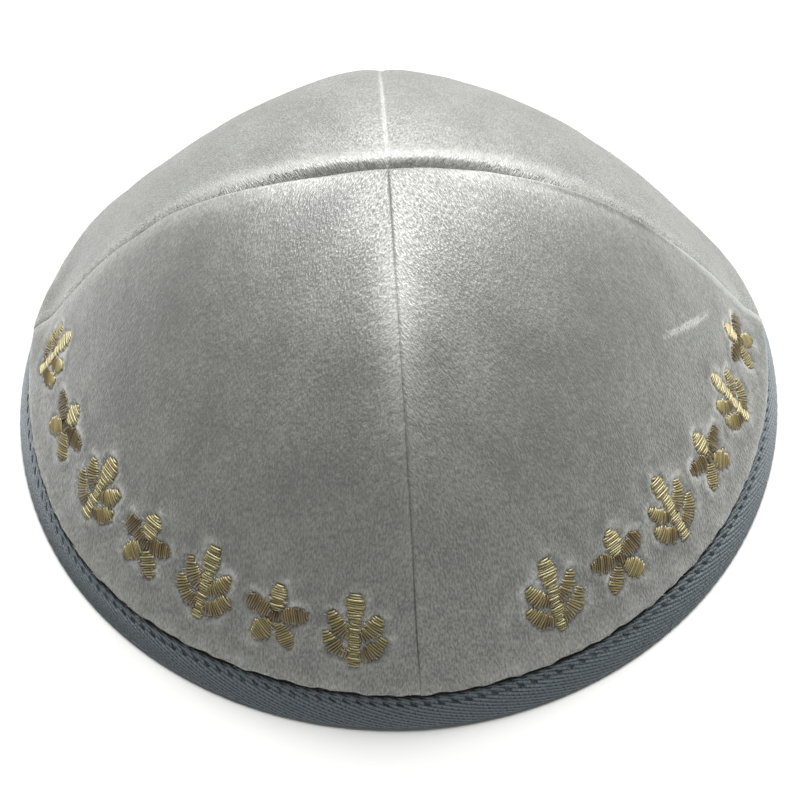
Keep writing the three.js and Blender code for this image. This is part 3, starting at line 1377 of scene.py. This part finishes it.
@dataclass
class PileTufts:
    """Loose pile that stands up along a gore's rolled edge, foot and folds, and round its satin stitch."""

    panel: VelvetPanel
    threads: np.ndarray | None = None
    reach: float = 1.0
    rise: float = 0.34
    fibre_radius: float = 0.05
    per_mm: float = 3.0
    crease_fibres: int = 70
    roll_length: float = 70.0
    foot_length: float = 136.0
    root_depth: float = 0.12
    seed: int = 21

    def along_roll(self, rng: np.random.Generator) -> tuple[np.ndarray, np.ndarray]:
        """Scatters roots on the edge that rolls over its neighbour.

        Args:
            rng: the source of random numbers.

        Returns:
            Turns and levels of the roots.
        """
        dome = self.panel.dome
        count = int(self.per_mm * self.roll_length)
        turns, levels = [np.zeros(0)], [np.zeros(0)]
        for sign, seam in ((-1, self.panel.gore.low_seam), (1, self.panel.gore.high_seam)):
            if seam is SeamEdge.OVER:
                level = rng.uniform(0.05, 0.85, count)
                away = rng.uniform(0.6, 2.2, count)
                turns.append(sign * (HALF_GORE - np.arcsin(away / (dome.rim_radius * level))))
                levels.append(level)
        return np.concatenate(turns), np.concatenate(levels)

    def along_foot(self, rng: np.random.Generator) -> tuple[np.ndarray, np.ndarray]:
        """Scatters roots along the edge that swells over the tape.

        Args:
            rng: the source of random numbers.

        Returns:
            Turns and levels of the roots.
        """
        dome = self.panel.dome
        count = int(self.per_mm * self.foot_length)
        turn = rng.uniform(-0.98, 0.98, count) * HALF_GORE
        down_to_edge = self.panel.above_tape(turn, np.zeros(count))
        return turn, dome.level_of_arc(down_to_edge - rng.uniform(0.5, 1.6, count))

    def round_stitches(self, rng: np.random.Generator) -> tuple[np.ndarray, np.ndarray]:
        """Scatters roots just beyond the ends of the satin threads.

        Args:
            rng: the source of random numbers.

        Returns:
            Turns and levels of the roots.
        """
        if self.threads is None:
            return np.zeros(0), np.zeros(0)
        dome, gore = self.panel.dome, self.panel.gore
        ends = np.concatenate([self.threads[:, 0], self.threads[:, -1]])
        inner = np.concatenate([self.threads[:, 1], self.threads[:, -2]])
        out = ends - inner
        out /= np.linalg.norm(out, axis=1, keepdims=True)
        spots = (ends + out * rng.uniform(0.15, 0.9, (len(ends), 1)) * MM) / MM
        level = dome.level_at(np.clip(spots[:, 2] + 0.3, 0, dome.cap_height - 0.1))
        turn = dome.unswayed(np.arctan2(spots[:, 1], spots[:, 0]), level) - math.radians(gore.facing)
        return wrapped(turn), level

    def along_creases(self, rng: np.random.Generator) -> tuple[np.ndarray, np.ndarray]:
        """Scatters roots along the gore's short folds, closer in their middle.

        Args:
            rng: the source of random numbers.

        Returns:
            Turns and levels of the roots.
        """
        dome = self.panel.dome
        turns, levels = [np.zeros(0)], [np.zeros(0)]
        for crease in self.panel.gore.creases:
            (turn, level), (last_turn, last_level) = crease.start, crease.end
            share = rng.beta(1.6, 1.6, self.crease_fibres)
            here = level + (last_level - level) * share
            spread = rng.normal(0, 0.3, (2, self.crease_fibres)) / (dome.rim_radius * here)
            turns.append(np.radians(turn + (last_turn - turn) * share) + spread[0])
            levels.append(here * (1 + spread[1]))
        return np.concatenate(turns), np.concatenate(levels)

    def build(self, finish: bpy.types.Material) -> bpy.types.Object:
        """Makes the tufts as one piece.

        Args:
            finish: the pile fibre's material.

        Returns:
            The gore's loose pile.
        """
        rng = np.random.default_rng(self.seed)
        dome, gore = self.panel.dome, self.panel.gore
        sources = (self.along_roll, self.along_foot, self.round_stitches, self.along_creases)
        found = [source(rng) for source in sources]
        turn = np.concatenate([pair[0] for pair in found])[:, None]
        level = np.concatenate([pair[1] for pair in found])[:, None]
        lean = math.radians(gore.grain) + rng.normal(0, 0.7, turn.shape)
        length = self.reach * rng.uniform(0.5, 1.2, turn.shape)
        share = np.array([0.0, 0.55, 1.0])
        base = self.panel.face_lift(turn, level)
        step_turn = turn - np.sin(lean) * length * share / (dome.rim_radius * level)
        step_level = dome.level_of_arc(dome.arc_of_level(level) - np.cos(lean) * length * share)
        climb = self.rise * rng.uniform(0.5, 1.4, turn.shape) + self.root_depth
        lift = base - self.root_depth + climb * share
        near = dome.place(gore, step_turn, step_level, lift)
        far = dome.place(gore, step_turn, step_level, lift + 1)
        tones = rng.random(len(near))
        name = gore.node.replace("panel", "pile_tufts")
        girth = self.fibre_radius * np.array([1.0, 0.85, 0.3])
        mesh = StrandBundle(sides=3).build(name, near, (far - near) / MM, girth, tones)
        return link_mesh(name, mesh, [finish])


@dataclass
class RimBinding:
    """The twill tape, folded over the cap's edge with a leg outside and a leg inside."""

    dome: Dome
    finish: TwillTape
    outer_leg: float = 6.1
    inner_leg: float = 5.5
    tape: float = 1.05
    channel: float = 2.2
    fold: float = 0.9
    bulge: float = 0.3
    wale_relief: float = 0.11
    columns: int = 1150
    stitch_drop: float = 0.9
    stitch_pitch: float = 2.73
    stitch_length: float = 1.5
    stitch_slant: float = 0.75
    groove: float = 0.22  # how far each stitch pulls the tape in
    groove_width: float = 0.32
    pull: float = 0.06  # how far the whole row pulls it in
    pull_width: float = 0.9
    thread_radius: float = 0.12
    edge_round: float = 0.25
    face_slope: float = 0.86  # height for each millimetre down the leaning outer leg
    face_stretch: float = 1.1  # length of cloth for each millimetre of the upright section
    closing_step: float = 0.3  # cloth from the section's last row back to its first

    def corners(self) -> list[tuple[float, float, int]]:
        """Lists the section's corners, from the outer edge down.

        Returns:
            Each corner's offset and height, and the rows from it to the next.
        """
        back = -(2 * self.tape + self.channel)
        inside = back + self.tape
        return [
            (-0.15, self.outer_leg - self.edge_round, 44),
            (0.0, self.fold, 4),
            (-0.3, 0.25, 3),
            (-self.fold, 0.0, 4),
            (back + self.fold, 0.0, 3),
            (back + 0.3, 0.25, 3),
            (back, self.fold, 10),
            (back + 0.15, self.inner_leg - self.edge_round, 2),
            (back + self.tape / 2, self.inner_leg, 2),
            (inside - 0.1, self.inner_leg - 0.3, 2),
            (inside, self.tape, 2),
            (-self.tape, self.tape, 2),
            (-self.tape + 0.05, self.outer_leg - 0.35, 2),
            (-self.tape / 2, self.outer_leg, 2),
        ]

    def section(self) -> tuple[np.ndarray, np.ndarray, np.ndarray]:
        """Runs round the closed section.

        Returns:
            Offsets, heights and the distance across the tape from its outer edge, in millimetres.
        """
        corners = self.corners()
        offsets, heights = [], []
        for here, after in zip(corners, corners[1:] + corners[:1]):
            share = np.arange(here[2]) / here[2]
            offsets.append(here[0] + (after[0] - here[0]) * share)
            heights.append(here[1] + (after[1] - here[1]) * share)
        offset, height = np.concatenate(offsets), np.concatenate(heights)
        run = np.hypot(np.diff(offset), np.diff(height))
        return offset, height, np.concatenate([[0.0], np.cumsum(run * self.face_stretch)])

    def length(self) -> float:
        """Returns the tape's length round the rim, in millimetres."""
        return 2 * math.pi * self.dome.rim_radius

    def stitches(self) -> int:
        """Returns how many machine stitches go round the rim."""
        return round(self.length() / self.stitch_pitch)

    def lowered(self, angle: np.ndarray, height: np.ndarray) -> np.ndarray:
        """Returns heights on the outer leg where less of the tape is folded to the outside."""
        return height * (1 - self.dome.narrowed(angle) / self.outer_leg)

    def relief(self, angle: np.ndarray, across: np.ndarray, face: np.ndarray) -> np.ndarray:
        """Works out the outer leg's relief.

        Args:
            angle: angles round the rim.
            across: distances down from the tape's outer edge.
            face: 1 on the outer leg and 0 elsewhere.

        Returns:
            Lifts in millimetres: the wales, and a groove where each machine stitch pulls the tape in.
        """
        phase = self.finish.wale_count * angle / (2 * math.pi) - across / self.finish.wale_pitch
        wales = self.wale_relief * np.cos(2 * math.pi * phase)
        step = angle / (2 * math.pi) * self.stitches()
        along = (step - np.floor(step) - 0.5) * self.stitch_pitch
        off_line = across - self.stitch_drop - self.stitch_slant * along / self.stitch_length
        ends = smooth_step(np.abs(along), 0.6 * self.stitch_length, 0.35 * self.stitch_length)
        groove = self.groove * bell(off_line, 0, self.groove_width) * ends
        pulled = self.pull * bell(across, self.stitch_drop, self.pull_width)
        return face * (wales - groove - pulled)

    def build(self, finish: bpy.types.Material) -> bpy.types.Object:
        """Turns the section round the rim.

        Args:
            finish: the tape's material.

        Returns:
            The binding.
        """
        offset, height, across = self.section()
        rows = len(offset)
        shape = bmesh.new()
        bmesh.ops.create_grid(shape, x_segments=self.columns, y_segments=rows, size=0.5)
        mesh = bpy.data.meshes.new("rim_binding_tape")
        shape.to_mesh(mesh)
        flat = read_points(mesh) + 0.5
        shape.free()
        step = np.rint(flat[:, 0] * self.columns).astype(int)
        row = np.rint(flat[:, 1] * rows).astype(int)
        angle = step / self.columns * 2 * math.pi - math.pi
        spot = row % rows
        reach = across[spot] + np.where(row == rows, across[-1] + self.closing_step, 0)
        outer_rows = self.corners()[0][2]
        face = np.where(spot <= outer_rows, 1.0, 0.0)
        swell = self.bulge * np.sin(math.pi * np.clip(spot / outer_rows, 0, 1)) * face
        lift = swell + self.relief(angle, across[spot], face)
        rise = np.where(offset[spot] >= -self.tape, self.lowered(angle, height[spot]), height[spot])
        write_points(mesh, self.dome.rim_point(angle, rise, offset[spot] + lift))
        around = (step / self.columns) * self.length()
        write_cloth_map(mesh, np.stack([around, reach], axis=1)[corner_vertices(mesh)])
        closed = bmesh.new()
        closed.from_mesh(mesh)
        bmesh.ops.remove_doubles(closed, verts=closed.verts, dist=0.002 * MM)
        bmesh.ops.recalc_face_normals(closed, faces=closed.faces)
        closed.to_mesh(mesh)
        closed.free()
        return link_mesh("rim_binding_tape", mesh, [finish])

    def build_stitches(self, finish: bpy.types.Material) -> bpy.types.Object:
        """Lays the row of machine stitches along the tape's outer edge.

        Args:
            finish: the sewing thread's material.

        Returns:
            The stitches as one piece.
        """
        count = self.stitches()
        share = np.array([-0.5, -0.36, 0.0, 0.36, 0.5])
        sag = np.array([-0.3, -0.06, 0.0, -0.06, -0.3])
        along = share * self.stitch_length / self.stitch_pitch
        angle = (np.arange(count)[:, None] + 0.5 + along) / count * 2 * math.pi
        drop = self.stitch_drop + self.stitch_slant * share
        height = self.lowered(angle, self.outer_leg - self.edge_round - drop * self.face_slope)
        near = self.dome.rim_point(angle, height, sag + 0 * angle)
        far = self.dome.rim_point(angle, height, sag + 1 + 0 * angle)
        tones = np.random.default_rng(3).random(count)
        mesh = StrandBundle().build("binding_stitches", near, (far - near) / MM, self.thread_radius, tones)
        return link_mesh("binding_stitches", mesh, [finish])


@dataclass
class Studio:
    """A pale paper floor, soft lights and the camera."""

    azimuth: float = -1.17
    elevation: float = 54.36
    roll: float = -2.48
    distance: float = 287.1
    aim: tuple[float, float, float] = (0.37, 0.0, -14.68)
    lens: float = 55.61
    floor_size: float = 3.0

    def floor(self) -> bpy.types.Object:
        """Lays the paper that the cap stands on.

        Returns:
            The floor.
        """
        shape = bmesh.new()
        bmesh.ops.create_grid(shape, x_segments=8, y_segments=8, size=self.floor_size / 2)
        mesh = bpy.data.meshes.new("floor")
        shape.to_mesh(mesh)
        shape.free()
        piece = link_mesh("floor", mesh, [PaperFloor().make()])
        return piece

    def light(
        self, name: str, spot: tuple[float, float, float], size: tuple[float, float], power: float
    ) -> None:
        """Hangs a soft box that faces the cap.

        Args:
            name: the light's name.
            spot: its place in metres.
            size: its width and height in metres.
            power: its power in watts.
        """
        lamp = bpy.data.lights.new(name, "AREA")
        lamp.shape = "RECTANGLE"
        lamp.size, lamp.size_y = size
        lamp.energy = power
        box = bpy.data.objects.new(name, lamp)
        box.location = spot
        box.rotation_euler = (Vector((0, 0, 0.03)) - Vector(spot)).to_track_quat("-Z", "Y").to_euler()
        bpy.context.scene.collection.objects.link(box)

    def lights(self) -> None:
        """Hangs the lights: a key above and behind, a weak front fill and a pale surround."""
        self.light("key", (0.12, 0.6, 1.02), (0.6, 0.5), 23.5)
        self.light("fill", (0.1, -1.1, 0.55), (0.5, 0.4), 1.0)
        world = bpy.data.worlds.new("surround")
        bpy.context.scene.world = world
        world.use_nodes = True
        background = world.node_tree.nodes["Background"]
        background.inputs["Color"].default_value = linear("#f2f4f6")
        background.inputs["Strength"].default_value = 0.1

    def camera(self) -> None:
        """Sets the camera at the photograph's angle to the cap."""
        azimuth, elevation, roll = (math.radians(x) for x in (self.azimuth, self.elevation, self.roll))
        back = Vector(
            (
                math.sin(azimuth) * math.cos(elevation),
                -math.cos(azimuth) * math.cos(elevation),
                math.sin(elevation),
            )
        )
        spot = back * self.distance * MM
        away = (spot - Vector(self.aim) * MM).normalized()
        right = Vector((0, 0, 1)).cross(away).normalized()
        up = away.cross(right)
        turned_right = right * math.cos(roll) + up * math.sin(roll)
        turned_up = up * math.cos(roll) - right * math.sin(roll)
        lens = bpy.data.cameras.new("camera")
        lens.lens = self.lens
        lens.sensor_width = 36.0
        lens.clip_start = 0.01
        view = bpy.data.objects.new("camera", lens)
        axes = Matrix((turned_right, turned_up, away)).transposed().to_4x4()
        view.matrix_world = Matrix.Translation(spot) @ axes
        bpy.context.scene.collection.objects.link(view)
        bpy.context.scene.camera = view


def stitched_tree(bands: list[SatinBand]) -> kdtree.KDTree:
    """Gathers the points of the bands' threads for finding the nearest one.

    Args:
        bands: the satin bands.

    Returns:
        A balanced tree of the threads' points.
    """
    points = np.concatenate([band.paths()[0].reshape(-1, 3) for band in bands])
    tree = kdtree.KDTree(len(points))
    for number, point in enumerate(points):
        tree.insert(point, number)
    tree.balance()
    return tree


def measured_dome() -> Dome:
    """Takes the dome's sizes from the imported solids.

    Returns:
        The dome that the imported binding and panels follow.
    """
    fold_round = 0.3
    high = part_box("rim_binding")[1]
    rim_radius = high.x / MM + fold_round
    return Dome(rim_radius, CAD_BOX[1].z / MM)


BACK_GRID = (124, 160)  # columns and rows of a back gore, which has no stitching to follow


def main() -> None:
    """Builds the cap piece by piece, and then the studio."""
    logging.basicConfig(level=logging.INFO, format="%(name)s: %(message)s")
    dome = measured_dome()
    binding = RimBinding(dome, TwillTape())
    panels = [VelvetPanel(gore, dome, binding.outer_leg) for gore in GORES]
    left, right, *backs = panels
    bands = [
        SatinBand(left, "satin_sprigs_front_left"),
        SatinBand(right, "satin_sprigs_front_right", first_turn=-24, motifs=6, seed=8),
    ]
    tree = stitched_tree(bands)
    for panel in backs:
        panel.columns, panel.rows = BACK_GRID
    for band in bands:
        band.panel.stitched = tree
    threads = {band.panel.gore: band.paths()[0] for band in bands}
    pile, backing = VelvetPile().make(), BackingCloth().make()
    # The loose fibres' pale tones are a painted glow, lighter than the pile's own tone, standing in for light
    # through backlit fibres.
    fibre = SpunThread("polyester_pile_fibre", "#a9aaa6", "#ececea", 0.45, 0.6).make()
    for panel in panels:
        piece = panel.build(pile, backing)
        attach(piece, "root")
        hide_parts(panel.gore.node)
        width, length, area = panel.cut_size()
        tufts = PileTufts(panel, threads.get(panel.gore)).build(fibre)
        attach(tufts, "root")
        LOG.info("velvet gore %s: %d faces", piece.name, len(piece.data.polygons))
        LOG.info("loose pile %s: %d faces", tufts.name, len(tufts.data.polygons))
    tape = binding.build(binding.finish.make(binding.length()))
    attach(tape, "root")
    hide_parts("rim_binding")
    LOG.info("binding tape: %d faces", len(tape.data.polygons))
    # The sewing thread's near-black tones are painted shade: darker than the tape, standing in for shadow in
    # the slits where each stitch sinks.
    sewing = SpunThread("polyester_sewing_thread", "#252d31", "#444f55", 0.6, 0.3)
    row = binding.build_stitches(sewing.make())
    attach(row, "root")
    LOG.info("machine stitches: %d faces", len(row.data.polygons))
    # The gold's dark brown and pale ends are partly painted shade and painted highlight, set by each thread's
    # direction.
    gold = SpunThread("rayon_embroidery_thread", "#5c3f14", "#c6ba80", 0.38, 1.0, 1.75, "#fffaea").make()
    for band in bands:
        piece = band.build(gold)
        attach(piece, "root")
        LOG.info("satin stitch %s: %d faces", piece.name, len(piece.data.polygons))
    studio = Studio()
    studio.floor()
    studio.lights()
    studio.camera()
    bpy.context.scene.view_settings.view_transform = "Standard"


if __name__ == "__main__":
    main()
